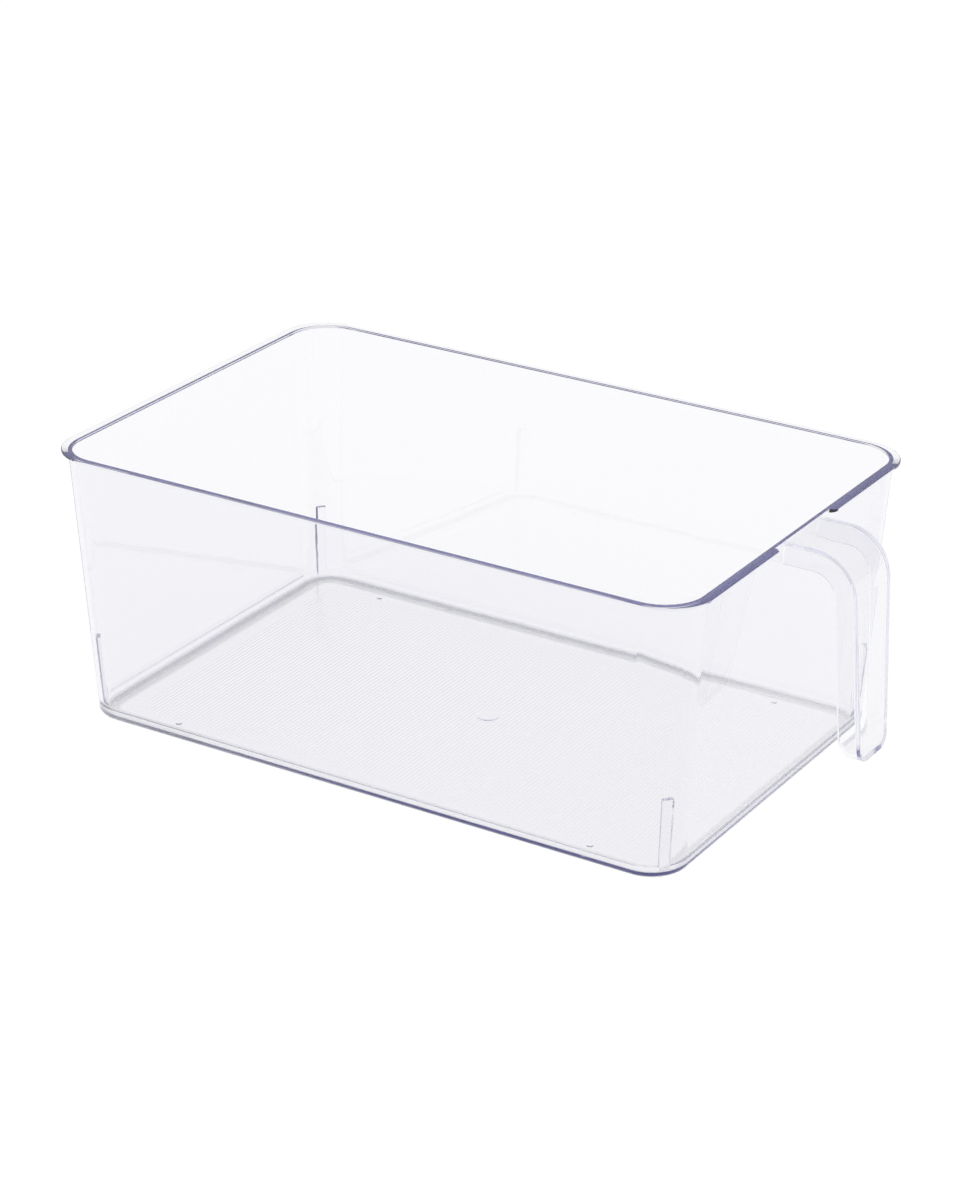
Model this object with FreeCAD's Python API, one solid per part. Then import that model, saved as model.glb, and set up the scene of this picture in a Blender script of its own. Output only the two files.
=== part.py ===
import FreeCAD, Part
import math
import os

# Clear fridge bin: an open, tapered tub and the pull handle fixed to one of its short walls.
# Millimetres. X runs along the bin with the handle at +X, Y across it, Z up.
# The origin is the middle of the underside, on the shelf that the bin stands on.

# ---- Driving dimensions ----
HEIGHT = 128.4             # shelf to the top of the rim
RIM_LENGTH = 322.6         # over the rim lip, without the handle
RIM_WIDTH = 210.0
RIM_RADIUS = 21.5          # plan radius of the lip's corners
LIP_THICKNESS = 1.2
LIP_OVER_ENDS = 3.1        # how far the lip stands out from the short walls
LIP_OVER_SIDES = 1.4       # and from the long walls
LIP_EDGE_RADIUS = 0.4
LIP_SLOPE = 10.0           # degrees that the lip's underside falls towards the wall
BASE_LENGTH = 301.5
BASE_WIDTH = 191.6
BASE_RADIUS = 17.5         # plan radius of the corners at the underside
WALL_TOP_RADIUS = 20.5     # plan radius of the wall's outer face at the rim
WALL = 2.0
FLOOR = 1.2
FLOOR_FILLET = 6.0         # inside, where the walls meet the floor
BASE_EDGE_RADIUS = 3.0     # outside, around the underside

# Upright ribs inside the four corners. A nested bin lands on their flat tops before its walls can jam.
RIB_TOP = 37.5
RIB_WIDTH = 5.0
RIB_DEPTH = 2.2
RIB_BEARING = 51.0         # degrees round the corner, from the long wall's side to the short wall's

# Marks of the mould on the floor's top face: a low disc opposite the gate, just off the middle,
# and a small one at each of the four ejector pins.
GATE_X = 6.0
GATE_RADIUS = 5.0
PIN_X = 107.0
PIN_Y = 82.0
PIN_RADIUS = 1.5
MARK_HEIGHT = 0.3

# The lip is left out around the handle, so that the handle meets the bare wall.
NOTCH_HALF_WIDTH = 25.0
NOTCH_CORNER_RADIUS = 2.4

# Handle: a strap with side flanges and an end wall, all turned towards the bin.
HANDLE_TOP_RUN = 13.7      # level run of the strap's outer face, from the wall to the bend
HANDLE_BEND_RADIUS = 20.5  # outer face
HANDLE_DROP = 95.4         # rim top to the lowest point
HANDLE_LEAN = 3.4          # degrees that the grip leans out on its way down
HANDLE_DEPTH = 10.6        # outer face of the strap to the flanges' free edges
HANDLE_TOP_HALF_WIDTH = 16.8
HANDLE_END_HALF_WIDTH = 12.8
STRAP = 2.2
FLANGE = 1.8
HANDLE_END_RADIUS = 7.0    # corners at the lower end, seen from the front
HANDLE_HEEL_RADIUS = 5.0   # corners at the lower end, seen from the side, towards the bin
HANDLE_EDGE_RADIUS = 0.3

# ---- Sizes that follow from them ----
WALL_TOP_HALF_LENGTH = RIM_LENGTH / 2 - LIP_OVER_ENDS
WALL_TOP_HALF_WIDTH = RIM_WIDTH / 2 - LIP_OVER_SIDES
OVERSHOOT = 2.0            # how far cutting tools run past what they cut


def rounded_rectangle(half_length, half_width, radius, z):
    """Closed wire of a rectangle with round corners, level at height z."""
    diagonal = radius * math.sqrt(0.5)
    corners = ((1, -1), (1, 1), (-1, 1), (-1, -1))
    arcs = []
    for sx, sy in corners:
        cx = sx * (half_length - radius)
        cy = sy * (half_width - radius)
        on_end = FreeCAD.Vector(cx + sx * radius, cy, z)
        middle = FreeCAD.Vector(cx + sx * diagonal, cy + sy * diagonal, z)
        on_side = FreeCAD.Vector(cx, cy + sy * radius, z)
        ends = (on_side, on_end) if sx * sy < 0 else (on_end, on_side)
        arcs.append(Part.Arc(ends[0], middle, ends[1]).toShape())
    edges = []
    for i, arc in enumerate(arcs):
        following = arcs[(i + 1) % len(arcs)]
        edges.append(arc)
        edges.append(Part.makeLine(arc.Vertexes[-1].Point, following.Vertexes[0].Point))
    return Part.Wire(edges)


def wall_plan(z):
    """Half-length, half-width and corner radius of the walls' outer face at height z."""
    share = z / HEIGHT
    half_length = BASE_LENGTH / 2 + (WALL_TOP_HALF_LENGTH - BASE_LENGTH / 2) * share
    half_width = BASE_WIDTH / 2 + (WALL_TOP_HALF_WIDTH - BASE_WIDTH / 2) * share
    radius = BASE_RADIUS + (WALL_TOP_RADIUS - BASE_RADIUS) * share
    return half_length, half_width, radius


def tapered_block(z_low, z_high, inset):
    """Solid that follows the walls' taper between two heights, set in from their outer face."""
    wires = []
    for z in (z_low, z_high):
        half_length, half_width, radius = wall_plan(z)
        wires.append(rounded_rectangle(half_length - inset, half_width - inset, radius - inset, z))
    return Part.makeLoft(wires, True, True)


def level_edges(shape, z):
    """Edges of a shape that lie wholly at height z."""
    return [e for e in shape.Edges if all(abs(v.Z - z) < 1e-4 for v in e.Vertexes)]


def mouth_edges(shell):
    """Edges of the top that border the hollow."""
    half_length, half_width, radius = wall_plan(HEIGHT)
    edges = []
    for edge in level_edges(shell, HEIGHT):
        points = edge.discretize(3)
        if all(abs(p.x) < half_length - WALL / 2 and abs(p.y) < half_width - WALL / 2 for p in points):
            edges.append(edge)
    return edges


def rim_plate():
    """Thin plate with softened edges, thicker towards the middle.

    Its border becomes the lip once the tub is hollowed.
    """
    outline = rounded_rectangle(RIM_LENGTH / 2, RIM_WIDTH / 2, RIM_RADIUS, HEIGHT - LIP_THICKNESS)
    plate = Part.Face(outline).extrude(FreeCAD.Vector(0, 0, LIP_THICKNESS))
    border = level_edges(plate, HEIGHT) + level_edges(plate, HEIGHT - LIP_THICKNESS)
    plate = plate.makeFillet(LIP_EDGE_RADIUS, border)
    wires = []
    for inset in (LIP_EDGE_RADIUS, LIP_OVER_ENDS + WALL / 2):
        fall = (inset - LIP_EDGE_RADIUS) * math.tan(math.radians(LIP_SLOPE))
        wires.append(rounded_rectangle(RIM_LENGTH / 2 - inset, RIM_WIDTH / 2 - inset,
                                       RIM_RADIUS - inset, HEIGHT - LIP_THICKNESS - fall))
    return plate.fuse(Part.makeLoft(wires, True, True))


def lip_notch():
    """Cutter that takes the lip off the bare wall around the handle, leaving the lip's ends round."""
    z_low = HEIGHT - LIP_THICKNESS - LIP_OVER_ENDS
    x_wall = BASE_LENGTH / 2
    x_edge = RIM_LENGTH / 2
    x_round = x_edge - NOTCH_CORNER_RADIUS
    x_past = x_edge + OVERSHOOT
    y_wide = NOTCH_HALF_WIDTH + NOTCH_CORNER_RADIUS
    set_back = NOTCH_CORNER_RADIUS * (1 - math.sqrt(0.5))

    def at(x, y):
        return FreeCAD.Vector(x, y, z_low)

    def round_end(side):
        start = at(x_round, side * NOTCH_HALF_WIDTH)
        middle = at(x_edge - set_back, side * (NOTCH_HALF_WIDTH + set_back))
        return Part.Arc(start, middle, at(x_edge, side * y_wide)).toShape()

    outline = Part.Wire([
        Part.makeLine(at(x_wall, -NOTCH_HALF_WIDTH), at(x_round, -NOTCH_HALF_WIDTH)),
        round_end(-1),
        Part.makeLine(at(x_edge, -y_wide), at(x_past, -y_wide)),
        Part.makeLine(at(x_past, -y_wide), at(x_past, y_wide)),
        Part.makeLine(at(x_past, y_wide), at(x_edge, y_wide)),
        round_end(1),
        Part.makeLine(at(x_round, NOTCH_HALF_WIDTH), at(x_wall, NOTCH_HALF_WIDTH)),
        Part.makeLine(at(x_wall, NOTCH_HALF_WIDTH), at(x_wall, -NOTCH_HALF_WIDTH)),
    ])
    block = Part.Face(outline).extrude(FreeCAD.Vector(0, 0, HEIGHT + OVERSHOOT - z_low))
    return block.cut(tapered_block(0, HEIGHT + 2 * OVERSHOOT, 0))


def corner_rib(sx, sy):
    """Upright rib in the round of one inside corner, leaning with the wall."""
    bearing = math.radians(RIB_BEARING)
    outward = FreeCAD.Vector(sx * math.sin(bearing), sy * math.cos(bearing), 0)
    across = FreeCAD.Vector(-outward.y, outward.x, 0) * (RIB_WIDTH / 2)
    wires = []
    for z in (FLOOR / 2, RIB_TOP):
        half_length, half_width, radius = wall_plan(z)
        centre = FreeCAD.Vector(sx * (half_length - radius), sy * (half_width - radius), z)
        inner = centre + outward * (radius - WALL - RIB_DEPTH)
        outer = centre + outward * (radius - WALL / 2)
        wires.append(Part.makePolygon([inner - across, outer - across, outer + across,
                                       inner + across, inner - across]))
    return Part.makeLoft(wires, True, True)


def floor_mark(x, y, radius):
    """Low disc on the floor's top face, rooted inside the floor."""
    return Part.makeCylinder(radius, MARK_HEIGHT + FLOOR / 2, FreeCAD.Vector(x, y, FLOOR / 2))


def tub():
    """The moulded tub: tapered walls, floor, rim lip, corner ribs and mould marks."""
    shell = tapered_block(0, HEIGHT, 0)
    shell = shell.makeFillet(BASE_EDGE_RADIUS, level_edges(shell, 0))
    hollow = tapered_block(FLOOR, HEIGHT + OVERSHOOT, WALL)
    hollow = hollow.makeFillet(FLOOR_FILLET, level_edges(hollow, FLOOR))
    shell = shell.fuse(rim_plate()).cut(lip_notch()).cut(hollow)
    shell = shell.makeFillet(LIP_EDGE_RADIUS, mouth_edges(shell))
    corners = [(sx, sy) for sx in (-1, 1) for sy in (-1, 1)]
    ribs = [corner_rib(sx, sy) for sx, sy in corners]
    marks = [floor_mark(sx * PIN_X, sy * PIN_Y, PIN_RADIUS) for sx, sy in corners]
    marks.append(floor_mark(GATE_X, 0, GATE_RADIUS))
    return shell.fuse(ribs + marks).removeSplitter()


def handle_band(near, far):
    """Side profile of the handle between two depths below its outer face, as a wide prism along Y.

    The profile runs level from the wall, bends down and leans out to the lower end.
    """
    lean = math.radians(HANDLE_LEAN)
    down = FreeCAD.Vector(math.sin(lean), 0, -math.cos(lean))
    outward = FreeCAD.Vector(math.cos(lean), 0, math.sin(lean))
    half_turn = (math.pi / 2 - lean) / 2
    bend = FreeCAD.Vector(WALL_TOP_HALF_LENGTH + HANDLE_TOP_RUN, 0, HEIGHT - HANDLE_BEND_RADIUS)
    x_start = BASE_LENGTH / 2
    lengths = HANDLE_DROP / math.cos(lean)

    def line_points(depth):
        radius = HANDLE_BEND_RADIUS - depth
        start = FreeCAD.Vector(x_start, 0, HEIGHT - depth)
        top = bend + FreeCAD.Vector(0, 0, radius)
        middle = bend + FreeCAD.Vector(math.sin(half_turn), 0, math.cos(half_turn)) * radius
        side = bend + outward * radius
        end = side + down * lengths
        return start, top, middle, side, end

    start_a, top_a, middle_a, side_a, end_a = line_points(near)
    start_b, top_b, middle_b, side_b, end_b = line_points(far)
    profile = Part.Wire([
        Part.makeLine(start_a, top_a),
        Part.Arc(top_a, middle_a, side_a).toShape(),
        Part.makeLine(side_a, end_a),
        Part.makeLine(end_a, end_b),
        Part.makeLine(end_b, side_b),
        Part.Arc(side_b, middle_b, top_b).toShape(),
        Part.makeLine(top_b, start_b),
        Part.makeLine(start_b, start_a),
    ])
    width = 4 * HANDLE_TOP_HALF_WIDTH
    band = Part.Face(profile).extrude(FreeCAD.Vector(0, width, 0))
    band.translate(FreeCAD.Vector(0, -width / 2, 0))
    return band


def handle_front(inset):
    """Front outline of the handle as a prism along X: narrowing downwards, with round lower corners."""
    x_low = 0
    x_length = RIM_LENGTH
    z_end = HEIGHT - HANDLE_DROP + inset
    slope = (HANDLE_TOP_HALF_WIDTH - HANDLE_END_HALF_WIDTH) / HANDLE_DROP
    top = HEIGHT + OVERSHOOT
    top_half = HANDLE_TOP_HALF_WIDTH + slope * OVERSHOOT - inset
    end_half = HANDLE_END_HALF_WIDTH + slope * inset - inset
    outline = Part.makePolygon([
        FreeCAD.Vector(x_low, -top_half, top),
        FreeCAD.Vector(x_low, top_half, top),
        FreeCAD.Vector(x_low, end_half, z_end),
        FreeCAD.Vector(x_low, -end_half, z_end),
        FreeCAD.Vector(x_low, -top_half, top),
    ])
    front = Part.Face(outline).extrude(FreeCAD.Vector(x_length, 0, 0))
    lower = [e for e in front.Edges if all(abs(v.Z - z_end) < 1e-4 for v in e.Vertexes)
             and abs(e.Vertexes[0].Y - e.Vertexes[-1].Y) < 1e-4]
    return front.makeFillet(HANDLE_END_RADIUS - min(inset, FLANGE), lower)


def bin_side_of_wall():
    """Block with one sloping face, on the plane of the short wall's outer face."""
    z_low = HEIGHT / 2
    z_high = HEIGHT + OVERSHOOT
    x_back = BASE_LENGTH / 2 - 10 * OVERSHOOT
    half = 2 * HANDLE_TOP_HALF_WIDTH
    outline = Part.makePolygon([
        FreeCAD.Vector(x_back, -half, z_low),
        FreeCAD.Vector(wall_plan(z_low)[0], -half, z_low),
        FreeCAD.Vector(wall_plan(z_high)[0], -half, z_high),
        FreeCAD.Vector(x_back, -half, z_high),
        FreeCAD.Vector(x_back, -half, z_low),
    ])
    return Part.Face(outline).extrude(FreeCAD.Vector(0, 2 * half, 0))


def handle_heel(inset):
    """Cutter that leaves the corner round where the lower end meets the flanges' free edges."""
    lean = math.radians(HANDLE_LEAN)
    z_end = HEIGHT - HANDLE_DROP + inset
    x_bend = WALL_TOP_HALF_LENGTH + HANDLE_TOP_RUN
    z_bend = HEIGHT - HANDLE_BEND_RADIUS
    half = 2 * HANDLE_TOP_HALF_WIDTH

    def at(depth, rise):
        z = z_end + rise
        x = x_bend + (z_bend - z) * math.tan(lean) + (HANDLE_BEND_RADIUS - depth) / math.cos(lean)
        return FreeCAD.Vector(x, -half, z)

    flat_depth = HANDLE_DEPTH - HANDLE_HEEL_RADIUS
    past_depth = HANDLE_DEPTH + 2 * OVERSHOOT
    part_way = HANDLE_HEEL_RADIUS * math.sqrt(0.5)
    start = at(flat_depth, 0)
    middle = at(flat_depth + part_way, HANDLE_HEEL_RADIUS - part_way)
    end = at(HANDLE_DEPTH, HANDLE_HEEL_RADIUS)
    outline = Part.Wire([
        Part.Arc(start, middle, end).toShape(),
        Part.makeLine(end, at(past_depth, HANDLE_HEEL_RADIUS)),
        Part.makeLine(at(past_depth, HANDLE_HEEL_RADIUS), at(past_depth, -2 * OVERSHOOT)),
        Part.makeLine(at(past_depth, -2 * OVERSHOOT), at(flat_depth, -2 * OVERSHOOT)),
        Part.makeLine(at(flat_depth, -2 * OVERSHOOT), start),
    ])
    return Part.Face(outline).extrude(FreeCAD.Vector(0, 2 * half, 0))


def handle():
    """The moulded pull handle, ending flat against the outer face of the short wall."""
    body = handle_band(0, HANDLE_DEPTH).common(handle_front(0))
    body = body.makeFillet(HANDLE_EDGE_RADIUS, body.Edges).cut(handle_heel(0))
    channel = handle_band(STRAP, HANDLE_DEPTH + OVERSHOOT).common(handle_front(FLANGE))
    channel = channel.cut(handle_heel(FLANGE))
    return body.cut(bin_side_of_wall()).cut(channel).removeSplitter()


NODES = {
    "tub": tub,
    "pull_handle": handle,
}

os.makedirs("parts", exist_ok=True)
for name, build in NODES.items():
    shape = build()
    if not shape.isValid() or len(shape.Solids) != 1:
        raise ValueError(name + " is not one valid solid")
    shape.exportStep(os.path.join("parts", name + ".step"))
    box = shape.BoundBox
    print(name, "volume", round(shape.Volume / 1000, 2), "cm3, box", [round(v, 2) for v in (
        box.XMin, box.XMax, box.YMin, box.YMax, box.ZMin, box.ZMax)])
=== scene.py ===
import math

import bmesh
import bpy
from bpy.props import FloatProperty, FloatVectorProperty, PointerProperty
from mathutils import Matrix, Vector


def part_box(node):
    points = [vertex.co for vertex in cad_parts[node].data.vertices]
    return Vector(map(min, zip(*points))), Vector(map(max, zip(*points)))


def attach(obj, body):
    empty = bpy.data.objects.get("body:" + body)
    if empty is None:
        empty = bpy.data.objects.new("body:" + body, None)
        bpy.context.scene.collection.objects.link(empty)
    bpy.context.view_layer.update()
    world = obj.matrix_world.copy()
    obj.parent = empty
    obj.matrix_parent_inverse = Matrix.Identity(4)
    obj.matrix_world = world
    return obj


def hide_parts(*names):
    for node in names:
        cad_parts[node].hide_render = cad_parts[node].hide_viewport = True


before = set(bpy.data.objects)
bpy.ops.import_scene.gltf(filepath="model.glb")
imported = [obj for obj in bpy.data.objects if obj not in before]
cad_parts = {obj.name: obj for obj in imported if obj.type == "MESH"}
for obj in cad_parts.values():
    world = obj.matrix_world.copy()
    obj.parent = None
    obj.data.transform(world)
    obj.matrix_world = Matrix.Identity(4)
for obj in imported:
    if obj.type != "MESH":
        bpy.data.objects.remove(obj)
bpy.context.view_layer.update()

bl_info = {
    "name": "Clear Fridge Bin",
    "version": (1, 0, 0),
    "blender": (4, 5, 0),
    "location": "3D View > Sidebar > Fridge Bin",
    "description": "Builds a clear moulded fridge bin with its pull handle, on a white stage",
    "category": "Add Mesh",
}

MM = 0.001
TUB_NODE = "tub"
HANDLE_NODE = "pull_handle"
BODY = "root"

# Edges that turn more than this stay sharp when the rest is shaded smooth.
SHARP_ANGLE = math.radians(38)
# Vertices closer than this, in metres, are one vertex.
WELD = 1e-7
# Steps along each kind of round, over one ridge, and from the gate mark's middle to its edge.
CORNER_STEPS = 20
FILLET_STEPS = 16
EDGE_STEPS = 4
NOTCH_STEPS = 6
BEND_STEPS = 18
HANDLE_TURN_STEPS = 10
PIN_STEPS = 24
RIDGE_STEPS = 6
GATE_STEPS = 12
# Rows up the plain parts of the walls and down the grip.
OUTER_ROWS = 12
INNER_ROWS = 9
RIB_ROWS = 3
GRIP_ROWS = 10
# Narrow flat beside a round, which keeps the flat faces shading flat, and the wider one beside
# the underside and the floor.
SUPPORT = 0.25 * MM
WIDE_SUPPORT = 3 * SUPPORT
# Angles in radians: from a rib's side to the wall beside it, which keeps the side upright, and to
# the nearest other station.
RIB_STEP = 1e-9
RIB_CLEARANCE = 0.02
# Run over which a ridge rises at its ends, and over which the gate mark's edge rises.
RIDGE_FADE = 1.5 * MM
MARK_FADE = 0.5 * MM
# A pin mark's bevel: the share of its height where it starts, and of its radius where it ends.
PIN_SIDE = 0.8
PIN_TOP = 0.92
# How far the lit floor lies below the bin's underside, so that they don't share a plane.
FLOOR_DROP = 0.05 * MM
# The floor's own grey and the room's cooler side, and how far round that side fades in.
FLOOR_GREY = "505050"
ROOM_SHADE = "F0F1F5"
ROOM_SHADE_REACH = 0.9
# The satin starts at the foot's height and is whole at this share of it.
FOOT_FADE = 0.8
# Light runs far inside clear walls by reflection, and fewer bounces turn the rims black.
LIGHT_BOUNCES = 128

_, tub_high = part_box(TUB_NODE)
handle_low, handle_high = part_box(HANDLE_NODE)


def linear_colour(hex_code):
    """Turns an sRGB hex code such as "F4F5F7" into linear red, green and blue."""
    values = [int(hex_code[i:i + 2], 16) / 255 for i in (0, 2, 4)]
    return [v / 12.92 if v <= 0.04045 else ((v + 0.055) / 1.055) ** 2.4 for v in values]


def length(name, description, default_mm):
    """A length property, its default given in millimetres."""
    return FloatProperty(name=name, description=description, default=default_mm * MM, min=0.0,
                         unit="LENGTH", precision=5)


class TubSizes(bpy.types.PropertyGroup):
    """Sizes of the moulded tub."""

    wall: length("Wall", "Thickness of the tapered walls", 2.0)
    floor: length("Floor", "Thickness of the floor", 1.2)
    floor_fillet: length("Floor fillet", "Inside radius where the walls meet the floor", 6.0)
    base_edge: length("Base edge", "Outside radius around the underside", 3.0)
    base_half_length: length("Base half length", "Half the length of the underside", 150.75)
    base_half_width: length("Base half width", "Half the width of the underside", 95.8)
    base_corner: length("Base corner", "Plan radius of the corners at the underside", 17.5)
    mouth_corner: length("Mouth corner", "Plan radius of the wall's corners at the rim", 20.5)
    lip_corner: length("Lip corner", "Plan radius of the lip's corners", 21.5)
    lip_thickness: length("Lip thickness", "Height of the rim lip's edge", 1.2)
    lip_slope: FloatProperty(name="Lip slope", subtype="ANGLE", default=math.radians(10.0),
                             description="Slope of the lip's underside, falling to the wall")
    lip_over_ends: length("Lip over ends", "How far the lip stands out from the short walls", 3.1)
    lip_over_sides: length("Lip over sides", "How far the lip stands out from the long walls", 1.4)
    lip_edge: length("Lip edge", "Radius along the lip's edges and the mouth", 0.4)
    notch_half_width: length("Notch half width", "Half the stretch with no lip at the handle", 25.0)
    notch_corner: length("Notch corner", "Radius of the lip's ends beside the handle", 2.4)
    rib_top: length("Rib top", "Height of the four stacking ribs' tops", 37.5)
    rib_width: length("Rib width", "Width of a stacking rib", 5.0)
    rib_depth: length("Rib depth", "How far a stacking rib stands in from the wall", 2.2)
    rib_reach: length("Rib reach", "Corner's centre to the place of a rib's full width", 17.0)
    rib_bearing: FloatProperty(name="Rib bearing", description="Place of a rib round its corner",
                               default=math.radians(51.0), subtype="ANGLE")
    ridge_pitch: length("Ridge pitch", "Spacing of the fine ridges across the floor", 2.0)
    ridge_height: length("Ridge height", "Height of the fine ridges", 0.12)
    ridge_margin: length("Ridge margin", "Plain border of the floor around the ridges", 8.0)
    gate_x: length("Gate mark place", "Gate mark's distance from the middle to the handle", 6.0)
    gate_radius: length("Gate mark radius", "Radius of the low disc opposite the gate", 5.0)
    pin_x: length("Pin mark place along", "Pin marks' distance from the middle, along", 107.0)
    pin_y: length("Pin mark place across", "Pin marks' distance from the middle, across", 82.0)
    pin_radius: length("Pin mark radius", "Radius of a pin mark", 1.5)
    mark_height: length("Mark height", "Height of the gate and pin marks", 0.3)


class HandleSizes(bpy.types.PropertyGroup):
    """Sizes of the moulded pull handle."""

    top_run: length("Top run", "Level run of the strap from the wall to its bend", 13.7)
    bend: length("Bend", "Outer radius of the strap's bend", 20.5)
    lean: FloatProperty(name="Lean", description="How far the grip leans out on its way down",
                        default=math.radians(3.4), subtype="ANGLE")
    depth: length("Depth", "Strap's outer face to the flanges' free edges", 10.6)
    top_half_width: length("Top half width", "Half width at the rim", 16.8)
    end_half_width: length("End half width", "Half width at the lower end", 12.8)
    strap: length("Strap", "Thickness of the strap", 2.2)
    flange: length("Flange", "Thickness of the side flanges and the end wall", 1.8)
    end_corner: length("End corner", "Radius of the lower corners seen from the front", 7.0)
    heel: length("Heel", "Radius of the lower corners seen from the side, towards the bin", 5.0)
    edge: length("Edge", "Radius along the handle's outer edges", 0.3)
    inner_edge: length("Inner edge", "Radius inside the channel and on its inner edges", 0.3)
    joint_gap: length("Joint gap", "Hairline between the handle's root and the wall", 0.1)


class PlasticFinish(bpy.types.PropertyGroup):
    """How the clear plastic looks."""

    ior: FloatProperty(name="IOR", description="Refraction of the plastic", default=1.57, min=1.0)
    flow_width: length("Flow wave width", "Width of the soft waves that the flow leaves", 30.0)
    flow_depth: length("Flow wave depth", "Height of those waves", 0.04)
    border_fade: length("Border fade", "Width over which the satin border fades to polish", 3.0)
    foot_height: length("Foot height", "Height up to which the base edge is satin", 0.9)
    polish: FloatProperty(name="Polish", description="Roughness of the mirror-polished faces",
                          default=0.008, min=0.0, max=1.0, subtype="FACTOR")
    satin: FloatProperty(name="Satin", description="Roughness of the satin border", default=0.55,
                         min=0.0, max=1.0, subtype="FACTOR")
    clarity: FloatVectorProperty(name="Clarity", description="Light that one wall lets through",
                                 subtype="COLOR", size=3, default=linear_colour("FAFAFB"))
    tint: FloatVectorProperty(name="Tint", description="Light that a thick run lets through",
                              subtype="COLOR", size=3, default=linear_colour("8F8CD2"))
    density: FloatProperty(name="Tint density", description="Absorption per metre of plastic",
                           default=14.0, min=0.0)
    handle_density: FloatProperty(name="Handle tint density",
                                  description="Absorption per metre of the handle's paler plastic",
                                  default=6.0, min=0.0)


class StudioSettings(bpy.types.PropertyGroup):
    """Floor, light and camera."""

    azimuth: FloatProperty(name="Azimuth", subtype="ANGLE", default=math.radians(31.601),
                           description="Camera's direction, from the front towards the handle")
    elevation: FloatProperty(name="Elevation", description="Camera's height above level",
                             default=math.radians(24.233), subtype="ANGLE")
    roll: FloatProperty(name="Roll", description="Camera's turn about its own axis",
                        default=math.radians(0.538), subtype="ANGLE")
    distance: length("Distance", "Camera to the point that it looks at", 1550.6)
    aim: FloatVectorProperty(name="Aim", description="Point that the camera looks at",
                             size=3, subtype="TRANSLATION", unit="LENGTH",
                             default=(0.41 * MM, 0.19 * MM, 56.91 * MM))
    lens: FloatProperty(name="Lens", description="Focal length on a 36 mm sensor", default=103.94,
                        unit="CAMERA")
    floor_size: length("Floor size", "Side of the square floor", 40000.0)
    floor_glow: FloatProperty(name="Floor glow", description="Light of the lit white floor",
                              default=0.97)
    room_glow: FloatProperty(name="Room glow", description="Light of the white studio",
                             default=0.86)


# ---- Shared mesh helpers ----

def arc_steps(start, end, count):
    """Angles from start to end, both included."""
    return [start + (end - start) * i / count for i in range(count + 1)]


def new_piece(name, mesh_builder, replaced, material):
    """Makes a closed piece, smooth but for its sharp edges, and hangs it on the frame."""
    mesh = bpy.data.meshes.new(name)
    shape = mesh_builder()
    bmesh.ops.remove_doubles(shape, verts=shape.verts, dist=WELD)
    bmesh.ops.dissolve_degenerate(shape, edges=shape.edges, dist=WELD)
    bmesh.ops.recalc_face_normals(shape, faces=shape.faces)
    for edge in shape.edges:
        edge.smooth = len(edge.link_faces) == 2 and edge.calc_face_angle(0.0) < SHARP_ANGLE
    for face in shape.faces:
        face.smooth = True
    open_edges = sum(1 for edge in shape.edges if len(edge.link_faces) != 2)
    shape.to_mesh(mesh)
    shape.free()
    if open_edges:
        raise RuntimeError(f"{name} has {open_edges} open edges")
    piece = bpy.data.objects.new(name, mesh)
    bpy.context.scene.collection.objects.link(piece)
    piece.data.materials.append(material)
    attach(piece, BODY)
    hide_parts(replaced)
    return piece


def bridge(shape, first, second, closed):
    """Quads between two rows of vertices."""
    count = len(first)
    for i in range(count if closed else count - 1):
        j = (i + 1) % count
        shape.faces.new((first[i], first[j], second[j], second[i]))


# ---- Tub ----

def tub_stations(sizes):
    """Places around the tub's plan, anticlockwise: a side, the place on it, the share of the lip
    that stands there, and 1 within a corner rib."""
    notch, turn = sizes.notch_half_width, sizes.notch_corner
    # Half of the handle's side: even stations, the notch's round, then wider ones to the corner.
    half = [(y * MM, 0.0) for y in range(0, 25, 4)] + [(notch, 0.0)]
    for angle in arc_steps(0, math.pi / 2, NOTCH_STEPS):
        share = 1 - turn * (1 - math.sin(angle)) / sizes.lip_over_ends
        half.append((notch + turn * (1 - math.cos(angle)), share))
    half += [(y * MM, 1.0) for y in (29, 34, 42, 50, 60, 70)]
    handle_side = [(-y, share) for y, share in reversed(half)] + half[1:]
    long_side = [x * 12.5 * MM for x in range(-10, 11)]
    plain_side = [y * MM for y in range(-70, 71, 14)]

    stations = [("x+", y, share, 0) for y, share in handle_side]
    stations += corner_stations(sizes, 1, 1, 0)
    stations += [("y+", -x, 1.0, 0) for x in long_side]
    stations += corner_stations(sizes, -1, 1, 1)
    stations += [("x-", -y, 1.0, 0) for y in plain_side]
    stations += corner_stations(sizes, -1, -1, 2)
    stations += [("y-", x, 1.0, 0) for x in long_side]
    stations += corner_stations(sizes, 1, -1, 3)
    return stations


def corner_stations(sizes, sx, sy, quarter):
    """Places round one corner, doubled at the two sides of its rib."""
    half_rib = math.asin(sizes.rib_width / 2 / sizes.rib_reach)
    from_x_axis = math.pi / 2 - sizes.rib_bearing
    centre = from_x_axis if sx == sy else math.pi / 2 - from_x_axis
    first, last = centre - half_rib, centre + half_rib
    plain = [a for a in arc_steps(0, math.pi / 2, CORNER_STEPS)
             if min(abs(a - first), abs(a - last)) > RIB_CLEARANCE]
    rows = [(a, 1 if first < a < last else 0) for a in plain]
    rows += [(first - RIB_STEP, 0), (first, 1), (last, 1), (last + RIB_STEP, 0)]
    start = quarter * math.pi / 2
    return [("corner", (sx, sy, start + a), 1.0, rib) for a, rib in sorted(rows)]


def plan_point(station, half_length, half_width, radius):
    """Point of a round-cornered rectangle at a station, in plan."""
    side, place = station[0], station[1]
    if side == "corner":
        sx, sy, angle = place
        return Vector((sx * (half_length - radius) + radius * math.cos(angle),
                       sy * (half_width - radius) + radius * math.sin(angle)))
    return {
        "x+": Vector((half_length, place)),
        "x-": Vector((-half_length, place)),
        "y+": Vector((place, half_width)),
        "y-": Vector((place, -half_width)),
    }[side]


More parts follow.
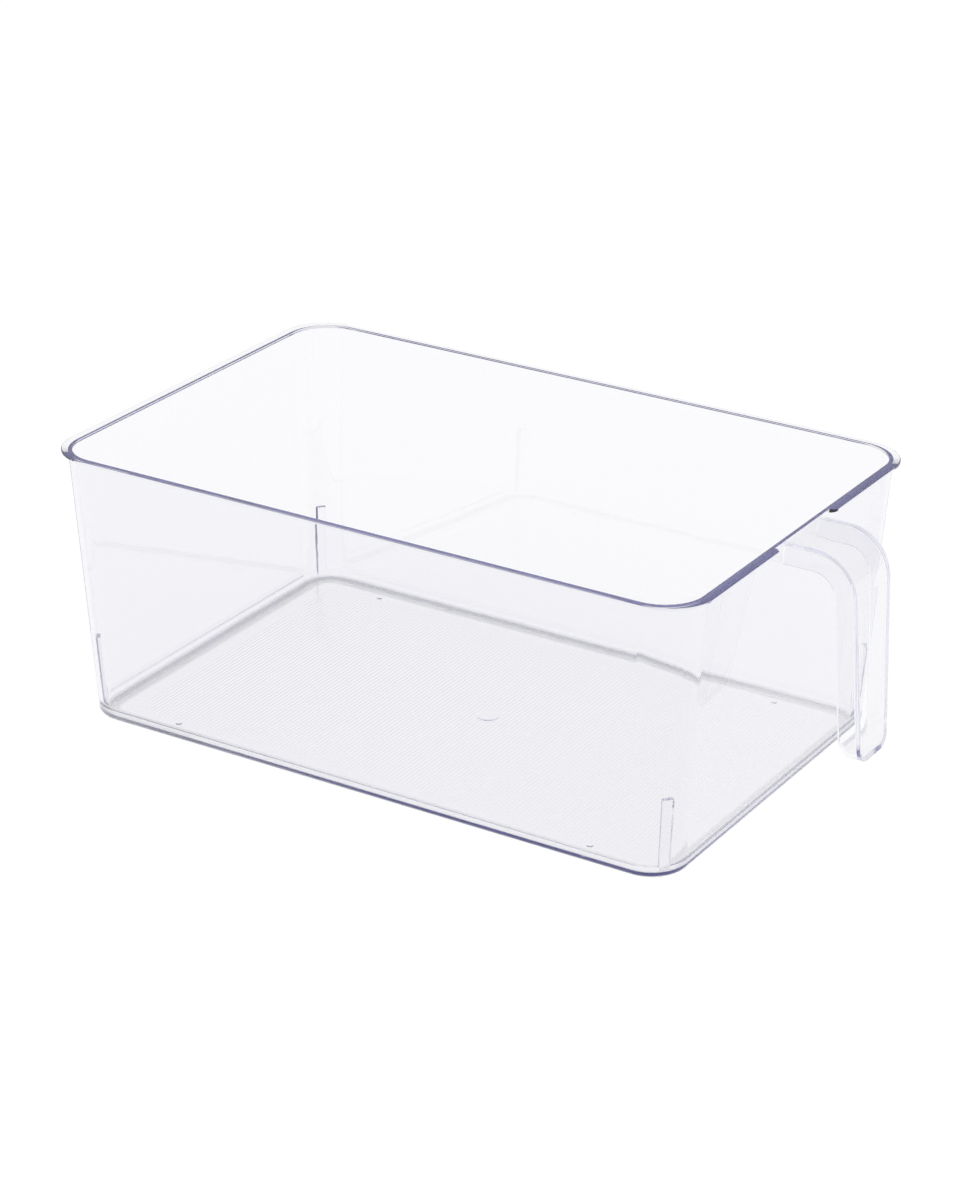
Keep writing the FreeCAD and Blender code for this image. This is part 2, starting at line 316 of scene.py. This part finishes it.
def wall_plan(sizes, z, inset):
    """Half length, half width and corner radius at height z, set in from the wall's outer face."""
    share = z / tub_high.z
    top_half_length = tub_high.x - sizes.lip_over_ends
    top_half_width = tub_high.y - sizes.lip_over_sides
    half_length = sizes.base_half_length + (top_half_length - sizes.base_half_length) * share
    half_width = sizes.base_half_width + (top_half_width - sizes.base_half_width) * share
    radius = sizes.base_corner + (sizes.mouth_corner - sizes.base_corner) * share
    return half_length - inset, half_width - inset, radius - inset


def tub_rows(sizes):
    """Rows of the tub's skin from the underside, up the outside, over the lip and down the inside.
    Each row is a kind, an inset and a height; a lip row's inset counts from the lip's edge."""
    top = tub_high.z
    low_lip = top - sizes.lip_thickness
    rows = [("wall", sizes.base_edge + WIDE_SUPPORT, 0.0)]
    for angle in arc_steps(0, math.pi / 2, EDGE_STEPS):
        rows.append(("wall", sizes.base_edge * (1 - math.sin(angle)),
                     sizes.base_edge * (1 - math.cos(angle))))
    low = sizes.base_edge + SUPPORT
    high = low_lip - sizes.lip_over_ends * math.tan(sizes.lip_slope) - SUPPORT
    rows += [("wall", 0.0, low + (high - low) * i / OUTER_ROWS) for i in range(OUTER_ROWS + 1)]
    rows += [("root", 0.0, low_lip), ("lip", sizes.lip_edge + SUPPORT, low_lip)]
    for angle in arc_steps(0, math.pi / 2, EDGE_STEPS):
        rows.append(("lip", sizes.lip_edge * (1 - math.sin(angle)),
                     low_lip + sizes.lip_edge * (1 - math.cos(angle))))
    for angle in arc_steps(0, math.pi / 2, EDGE_STEPS):
        rows.append(("lip", sizes.lip_edge * (1 - math.cos(angle)),
                     top - sizes.lip_edge * (1 - math.sin(angle))))
    rows.append(("lip", sizes.lip_edge + SUPPORT, top))
    inner = sizes.wall
    rows.append(("wall", inner - sizes.lip_edge - SUPPORT, top))
    for angle in arc_steps(0, math.pi / 2, EDGE_STEPS):
        rows.append(("wall", inner - sizes.lip_edge * (1 - math.sin(angle)),
                     top - sizes.lip_edge * (1 - math.cos(angle))))
    high = top - sizes.lip_edge - SUPPORT
    rows += [("wall", inner, high + (sizes.rib_top - high) * i / INNER_ROWS)
             for i in range(INNER_ROWS + 1)]
    rows.append(("rib", inner, sizes.rib_top))
    low = sizes.floor + sizes.floor_fillet + SUPPORT
    rows += [("rib", inner, sizes.rib_top + (low - sizes.rib_top) * i / RIB_ROWS)
             for i in range(1, RIB_ROWS + 1)]
    for angle in arc_steps(0, math.pi / 2, FILLET_STEPS):
        rows.append(("rib", inner + sizes.floor_fillet * (1 - math.cos(angle)),
                     sizes.floor + sizes.floor_fillet * (1 - math.sin(angle))))
    rows.append(("rib", inner + sizes.floor_fillet + WIDE_SUPPORT, sizes.floor))
    return rows


def tub_mesh(sizes):
    """The whole tub as one closed skin."""
    stations = tub_stations(sizes)
    shape = bmesh.new()
    loops = []
    for kind, inset, height in tub_rows(sizes):
        loop = []
        for station in stations:
            z, lip_share, rib_share = height, station[2], station[3]
            if kind in ("lip", "root"):
                share = lip_share if kind == "lip" else 0.0
                wall = plan_point(station, *wall_plan(sizes, z, 0.0))
                edge = plan_point(station, tub_high.x - inset, tub_high.y - inset,
                                  sizes.lip_corner - inset)
                if z < tub_high.z - sizes.lip_thickness / 2:  # the underside falls to the wall
                    from_edge = inset + (edge - wall).length * (1 - share)
                    z -= max(0.0, from_edge - sizes.lip_edge) * math.tan(sizes.lip_slope)
                    wall = plan_point(station, *wall_plan(sizes, z, 0.0))
                spot = wall.lerp(edge, share)
            else:
                own = inset
                if kind == "rib" and rib_share:
                    own = max(inset, sizes.wall + sizes.rib_depth)
                spot = plan_point(station, *wall_plan(sizes, z, own))
            loop.append(shape.verts.new((spot.x, spot.y, z)))
        loops.append(loop)
    for first, second in zip(loops, loops[1:]):
        bridge(shape, first, second, True)
    shape.faces.new(list(reversed(loops[0])))
    ridged_floor(shape, loops[-1], sizes)
    return shape


def ridged_floor(shape, border, sizes):
    """Fills the floor inside its border: fine ridges across the bin, and the marks of the mould.

    Ridges that a tool leaves are lower than these, which are drawn high enough to show.
    """
    inset = sizes.wall + sizes.floor_fillet + sizes.ridge_margin
    half_length, half_width, radius = wall_plan(sizes, sizes.floor, inset)
    count = int(2 * half_length / sizes.ridge_pitch)
    start = -count * sizes.ridge_pitch / 2
    across = [y * sizes.gate_radius / GATE_STEPS for y in range(-GATE_STEPS - 2, GATE_STEPS + 3)]
    grid = []
    for i in range(count * RIDGE_STEPS + 1):
        x = start + sizes.ridge_pitch * i / RIDGE_STEPS
        rise = sizes.ridge_height * 0.5 * (1 - math.cos(math.tau * i / RIDGE_STEPS))
        in_corner = max(0.0, abs(x) - (half_length - radius))
        reach = half_width - radius + math.sqrt(max(0.0, radius ** 2 - in_corner ** 2))
        heights = [(-reach, 0.0), (-reach + RIDGE_FADE, rise)]
        for y in across:
            beyond = math.hypot(x - sizes.gate_x, y) - sizes.gate_radius
            share = min(1.0, max(0.0, 0.5 - beyond / MARK_FADE))
            heights.append((y, rise + (sizes.mark_height - rise) * share))
        heights += [(reach - RIDGE_FADE, rise), (reach, 0.0)]
        grid.append([shape.verts.new((x, y, sizes.floor + up)) for y, up in heights])
    for first, second in zip(grid, grid[1:]):
        bridge(shape, first, second, False)
    for sx in (-1, 1):
        for sy in (-1, 1):
            pin_mark(shape, sx * sizes.pin_x, sy * sizes.pin_y, sizes)
    bmesh.ops.remove_doubles(shape, verts=shape.verts, dist=WELD)
    rim = [edge for edge in shape.edges if len(edge.link_faces) == 1]
    bmesh.ops.triangle_fill(shape, use_beauty=True, use_dissolve=False, edges=rim)


def pin_mark(shape, x, y, sizes):
    """Low disc that an ejector pin leaves on the floor, with a small bevel round its top."""
    rings = []
    for radius, up in ((sizes.pin_radius, 0.0), (sizes.pin_radius, sizes.mark_height * PIN_SIDE),
                       (sizes.pin_radius * PIN_TOP, sizes.mark_height)):
        rings.append([shape.verts.new((x + radius * math.cos(a), y + radius * math.sin(a),
                                       sizes.floor + up))
                      for a in arc_steps(0, math.tau, PIN_STEPS)[:-1]])
    for first, second in zip(rings, rings[1:]):
        bridge(shape, first, second, True)
    shape.faces.new(rings[-1])


# ---- Handle ----

def handle_outline(sizes, inset, depth):
    """One side of the handle, from its root to the middle of its lower end, as points (x, y, z)."""
    slope = (sizes.top_half_width - sizes.end_half_width) / (handle_high.z - handle_low.z)
    top = handle_high.z
    x_bend = handle_wall_x(top) + sizes.top_run
    z_bend = top - sizes.bend
    radius = sizes.bend - depth
    lean = sizes.lean

    def half_width(z):
        return sizes.top_half_width - slope * (top - z) - inset

    points = []
    z = top - depth
    x_root = handle_wall_x(z) + sizes.joint_gap
    for share in (0.0, 0.04, 0.3, 0.65, 0.96):  # closer at the root and at the bend
        points.append((x_root + (x_bend - x_root) * share, half_width(z), z))
    for angle in arc_steps(0, math.pi / 2 - lean, BEND_STEPS):
        z = z_bend + radius * math.cos(angle)
        points.append((x_bend + radius * math.sin(angle), half_width(z), z))
    x_side, _, z_side = points[-1]
    into_heel = max(0.0, depth - (sizes.depth - sizes.heel))
    z_low = handle_low.z + inset + sizes.heel - math.sqrt(sizes.heel ** 2 - into_heel ** 2)
    turn = sizes.end_corner - min(inset, sizes.flange)

    def x_at(level):
        return x_side + (z_side - level) * math.tan(lean)

    z_turn = z_low + turn
    for i in range(1, GRIP_ROWS + 1):
        level = z_side + (z_turn - z_side) * i / GRIP_ROWS
        points.append((x_at(level), half_width(level), level))
    y_turn = half_width(z_turn) - turn
    for angle in arc_steps(0, math.pi / 2, HANDLE_TURN_STEPS)[1:]:
        level = z_turn - turn * math.sin(angle)
        points.append((x_at(level), y_turn + turn * math.cos(angle), level))
    return points


def handle_wall_x(z):
    """Outer face of the short wall at height z."""
    return wall_plan(bpy.context.scene.fridge_bin_tub, z, 0.0)[0]


def handle_rows(sizes):
    """Insets and depths round a flange's section, from the strap's outer face to its inner face."""
    edge, inner, flange = sizes.edge, sizes.inner_edge, sizes.flange
    depth, strap = sizes.depth, sizes.strap
    heel_start, heel_end = depth - sizes.heel, depth - edge - SUPPORT
    heel = [heel_start + (heel_end - heel_start) * math.sin(a)
            for a in arc_steps(0, math.pi / 2, HANDLE_TURN_STEPS)]
    rows = [(edge + SUPPORT, 0.0)]
    rows += [(edge * (1 - math.sin(a)), edge * (1 - math.cos(a)))
             for a in arc_steps(0, math.pi / 2, EDGE_STEPS)]
    rows.append((0.0, edge + SUPPORT))
    rows += [(0.0, d) for d in heel]
    rows += [(edge * (1 - math.cos(a)), depth - edge * (1 - math.sin(a)))
             for a in arc_steps(0, math.pi / 2, EDGE_STEPS)]
    rows += [(flange - inner * (1 - math.sin(a)), depth - inner * (1 - math.cos(a)))
             for a in arc_steps(0, math.pi / 2, EDGE_STEPS)]
    rows += [(flange, d) for d in reversed(heel)]
    rows.append((flange, strap + inner + SUPPORT))
    rows += [(flange + inner * (1 - math.cos(a)), strap + inner * (1 - math.sin(a)))
             for a in arc_steps(0, math.pi / 2, EDGE_STEPS)]
    rows.append((flange + inner + SUPPORT, strap))
    return rows


def handle_mesh(sizes):
    """The handle as one closed skin: both sides are one outline and its mirror image."""
    shape = bmesh.new()
    lines = {1: [], -1: []}
    for inset, depth in handle_rows(sizes):
        points = handle_outline(sizes, inset, depth)
        for side, rows in lines.items():
            rows.append([shape.verts.new((x, side * y, z)) for x, y, z in points])
    for rows in lines.values():
        for first, second in zip(rows, rows[1:]):
            bridge(shape, first, second, False)
    bottom = [(row_a[-1], row_b[-1]) for row_a, row_b in zip(lines[1], lines[-1])]
    for (a, b), (c, d) in zip(bottom, bottom[1:]):
        shape.faces.new((a, b, d, c))
    bridge(shape, lines[1][0], lines[-1][0], False)
    bridge(shape, lines[1][-1], lines[-1][-1], False)
    root = [row[0] for row in lines[1]] + [row[0] for row in reversed(lines[-1])]
    shape.faces.new(root)
    return shape


# ---- Material ----

def add_node(tree, kind, links=None, **settings):
    """Adds a node, sets its properties and sockets, and links the sockets named in links."""
    node = tree.nodes.new(kind)
    for name, value in settings.items():
        if name in node.inputs:
            node.inputs[name].default_value = value
        else:
            setattr(node, name, value)
    for name, source in (links or {}).items():
        tree.links.new(source, node.inputs[name])
    return node


def clear_plastic(name, density):
    """Crystal polystyrene, injection moulded in a polished tool.

    The polish gives glass-clear walls with sharp reflections. Light that is caught between the two
    faces of a wall runs far inside it and comes out blue-violet, so the rims look dark. The border
    of the underside has the satin of an unpolished tool, which keeps that light from the floor's
    edges. The plastic's flow leaves waves some 30 mm wide and a few microns deep. Waves as shallow
    as that don't show, so they are drawn deeper, and give the faces a slight waver.
    """
    finish = bpy.context.scene.fridge_bin_plastic
    sizes = bpy.context.scene.fridge_bin_tub
    material = bpy.data.materials.new(name)
    material.use_nodes = True
    tree = material.node_tree
    tree.nodes.clear()
    place = add_node(tree, "ShaderNodeTexCoord")
    axes = add_node(tree, "ShaderNodeSeparateXYZ", {"Vector": place.outputs["Object"]})

    # Distance outwards from the centres of the base's corners: the same value all along a loop
    # that follows the foot. The third axis is taken far enough down to drop out.
    outwards = place.outputs["Object"]
    centre = (sizes.base_half_length - sizes.base_corner,
              sizes.base_half_width - sizes.base_corner, 1.0)
    for operation, other in (("ABSOLUTE", None), ("SUBTRACT", centre), ("MAXIMUM", (0, 0, 0))):
        step = add_node(tree, "ShaderNodeVectorMath", {"Vector": outwards}, operation=operation)
        if other:
            step.inputs[1].default_value = other
        outwards = step.outputs["Vector"]
    reach = add_node(tree, "ShaderNodeVectorMath", {"Vector": outwards}, operation="LENGTH")

    # Satin border: under the inside radius and no higher than the foot.
    ring = sizes.base_corner - sizes.wall - sizes.floor_fillet
    border = add_node(tree, "ShaderNodeMapRange", {"Value": reach.outputs["Value"]}, **{
        "From Min": ring - finish.border_fade, "From Max": ring})
    foot = add_node(tree, "ShaderNodeMapRange", {
        "Value": axes.outputs["Z"], "To Max": border.outputs["Result"]}, **{
        "From Min": finish.foot_height, "From Max": FOOT_FADE * finish.foot_height})

    # Polish and flow waves, one soft noise at the width of the waves.
    haze = add_node(tree, "ShaderNodeTexNoise", {"Vector": place.outputs["Object"]}, **{
        "Scale": 1 / finish.flow_width, "Detail": 3.0, "Roughness": 0.5})
    polish = add_node(tree, "ShaderNodeMapRange", {"Value": haze.outputs["Fac"]}, **{
        "To Min": 0.0, "To Max": 2 * finish.polish})
    roughness = add_node(tree, "ShaderNodeMapRange", {
        "Value": foot.outputs["Result"], "To Min": polish.outputs["Result"]}, **{
        "To Max": finish.satin})
    waves = add_node(tree, "ShaderNodeBump", {"Height": haze.outputs["Fac"]},
                     Strength=1.0, Distance=finish.flow_depth)
    surface = add_node(tree, "ShaderNodeBsdfPrincipled", {
        "Roughness": roughness.outputs["Result"], "Normal": waves.outputs["Normal"]}, **{
        "Base Color": (*finish.clarity, 1), "IOR": finish.ior, "Transmission Weight": 1.0})
    inside = add_node(tree, "ShaderNodeVolumeAbsorption",
                      Color=(*finish.tint, 1), Density=density)
    add_node(tree, "ShaderNodeOutputMaterial", {
        "Surface": surface.outputs["BSDF"], "Volume": inside.outputs["Volume"]})
    return material


# ---- Operators ----

class FRIDGEBIN_OT_tub(bpy.types.Operator):
    """Builds the clear tub with its lip, corner ribs and ridged floor"""

    bl_idname = "fridge_bin.tub"
    bl_label = "Tub"

    def execute(self, context):
        sizes = context.scene.fridge_bin_tub
        finish = clear_plastic("Moulded crystal polystyrene, tub",
                               context.scene.fridge_bin_plastic.density)
        new_piece("clear_tub", lambda: tub_mesh(sizes), TUB_NODE, finish)
        return {"FINISHED"}


class FRIDGEBIN_OT_handle(bpy.types.Operator):
    """Builds the clear pull handle with its flanges"""

    bl_idname = "fridge_bin.pull_handle"
    bl_label = "Pull handle"

    def execute(self, context):
        sizes = context.scene.fridge_bin_handle
        finish = clear_plastic("Moulded crystal polystyrene, handle",
                               context.scene.fridge_bin_plastic.handle_density)
        new_piece("clear_pull_handle", lambda: handle_mesh(sizes), HANDLE_NODE, finish)
        return {"FINISHED"}


class FRIDGEBIN_OT_stage(bpy.types.Operator):
    """Lays the white floor, lights the studio and places the camera"""

    bl_idname = "fridge_bin.stage"
    bl_label = "Studio stage"

    def execute(self, context):
        settings = context.scene.fridge_bin_studio
        white_floor(settings)
        studio_light(settings)
        studio_camera(settings)
        return {"FINISHED"}


def white_floor(settings):
    """A plain square of extruded opal acrylic, lit from below: even white, with no gloss."""
    half = settings.floor_size / 2
    mesh = bpy.data.meshes.new("studio_floor")
    mesh.from_pydata([(-half, -half, 0), (half, -half, 0), (half, half, 0), (-half, half, 0)], [],
                     [(0, 1, 2, 3)])
    floor = bpy.data.objects.new("studio_floor", mesh)
    floor.location.z = -FLOOR_DROP
    bpy.context.scene.collection.objects.link(floor)
    material = bpy.data.materials.new("Extruded opal acrylic, lit")
    material.use_nodes = True
    tree = material.node_tree
    tree.nodes.clear()
    face = add_node(tree, "ShaderNodeBsdfPrincipled", **{
        "Base Color": (*linear_colour(FLOOR_GREY), 1), "Roughness": 0.6, "Specular IOR Level": 0.0,
        "Emission Color": (1, 1, 1, 1), "Emission Strength": settings.floor_glow})
    add_node(tree, "ShaderNodeOutputMaterial", {"Surface": face.outputs["BSDF"]})
    floor.data.materials.append(material)


def studio_light(settings):
    """White room light from every side, a little cooler from the side where the camera stands."""
    world = bpy.data.worlds.new("White studio")
    bpy.context.scene.world = world
    world.use_nodes = True
    tree = world.node_tree
    tree.nodes.clear()
    place = add_node(tree, "ShaderNodeTexCoord")
    towards = add_node(tree, "ShaderNodeVectorMath", {"Vector": place.outputs["Generated"]},
                       operation="DOT_PRODUCT")
    towards.inputs[1].default_value = (math.sin(settings.azimuth), -math.cos(settings.azimuth), 0)
    shade = add_node(tree, "ShaderNodeValToRGB", {"Fac": towards.outputs["Value"]})
    shade.color_ramp.elements[0].position = 0.0
    shade.color_ramp.elements[0].color = (1, 1, 1, 1)
    shade.color_ramp.elements[1].position = ROOM_SHADE_REACH
    shade.color_ramp.elements[1].color = (*linear_colour(ROOM_SHADE), 1)
    room = add_node(tree, "ShaderNodeBackground", {"Color": shade.outputs["Color"]},
                    Strength=settings.room_glow)
    add_node(tree, "ShaderNodeOutputWorld", {"Surface": room.outputs["Background"]})
    scene = bpy.context.scene
    scene.view_settings.view_transform = "Standard"
    scene.cycles.max_bounces = LIGHT_BOUNCES
    scene.cycles.transmission_bounces = LIGHT_BOUNCES
    scene.cycles.glossy_bounces = LIGHT_BOUNCES


def studio_camera(settings):
    """Looks down at the bin's long side and its handle."""
    azimuth, elevation, roll = settings.azimuth, settings.elevation, settings.roll
    back = Vector((math.sin(azimuth) * math.cos(elevation),
                   -math.cos(azimuth) * math.cos(elevation), math.sin(elevation)))
    level = Vector((math.cos(azimuth), math.sin(azimuth), 0.0))
    upright = back.cross(level)
    right = level * math.cos(roll) + upright * math.sin(roll)
    up = upright * math.cos(roll) - level * math.sin(roll)
    data = bpy.data.cameras.new("Studio camera")
    data.lens = settings.lens
    data.sensor_fit = "AUTO"
    data.sensor_width = 36
    camera = bpy.data.objects.new("Studio camera", data)
    camera.matrix_world = Matrix.LocRotScale(
        Vector(settings.aim) + back * settings.distance,
        Matrix((right, up, back)).transposed(), None)
    bpy.context.scene.collection.objects.link(camera)
    bpy.context.scene.camera = camera


class FRIDGEBIN_PT_panel(bpy.types.Panel):
    """Lists the bin's pieces and the stage"""

    bl_idname = "FRIDGEBIN_PT_panel"
    bl_label = "Fridge Bin"
    bl_space_type = "VIEW_3D"
    bl_region_type = "UI"
    bl_category = "Fridge Bin"

    def draw(self, context):
        column = self.layout.column()
        for operator in OPERATORS:
            column.operator(operator.bl_idname)


GROUPS = {
    "fridge_bin_tub": TubSizes,
    "fridge_bin_handle": HandleSizes,
    "fridge_bin_plastic": PlasticFinish,
    "fridge_bin_studio": StudioSettings,
}
OPERATORS = (FRIDGEBIN_OT_tub, FRIDGEBIN_OT_handle, FRIDGEBIN_OT_stage)
CLASSES = (*GROUPS.values(), *OPERATORS, FRIDGEBIN_PT_panel)


def register():
    for cls in CLASSES:
        bpy.utils.register_class(cls)
    for name, group in GROUPS.items():
        setattr(bpy.types.Scene, name, PointerProperty(type=group))


def unregister():
    for name in GROUPS:
        delattr(bpy.types.Scene, name)
    for cls in reversed(CLASSES):
        bpy.utils.unregister_class(cls)


def main():
    """Builds every piece and the stage."""
    register()
    bpy.ops.fridge_bin.tub()
    bpy.ops.fridge_bin.pull_handle()
    bpy.ops.fridge_bin.stage()


if __name__ == "__main__":
    main()
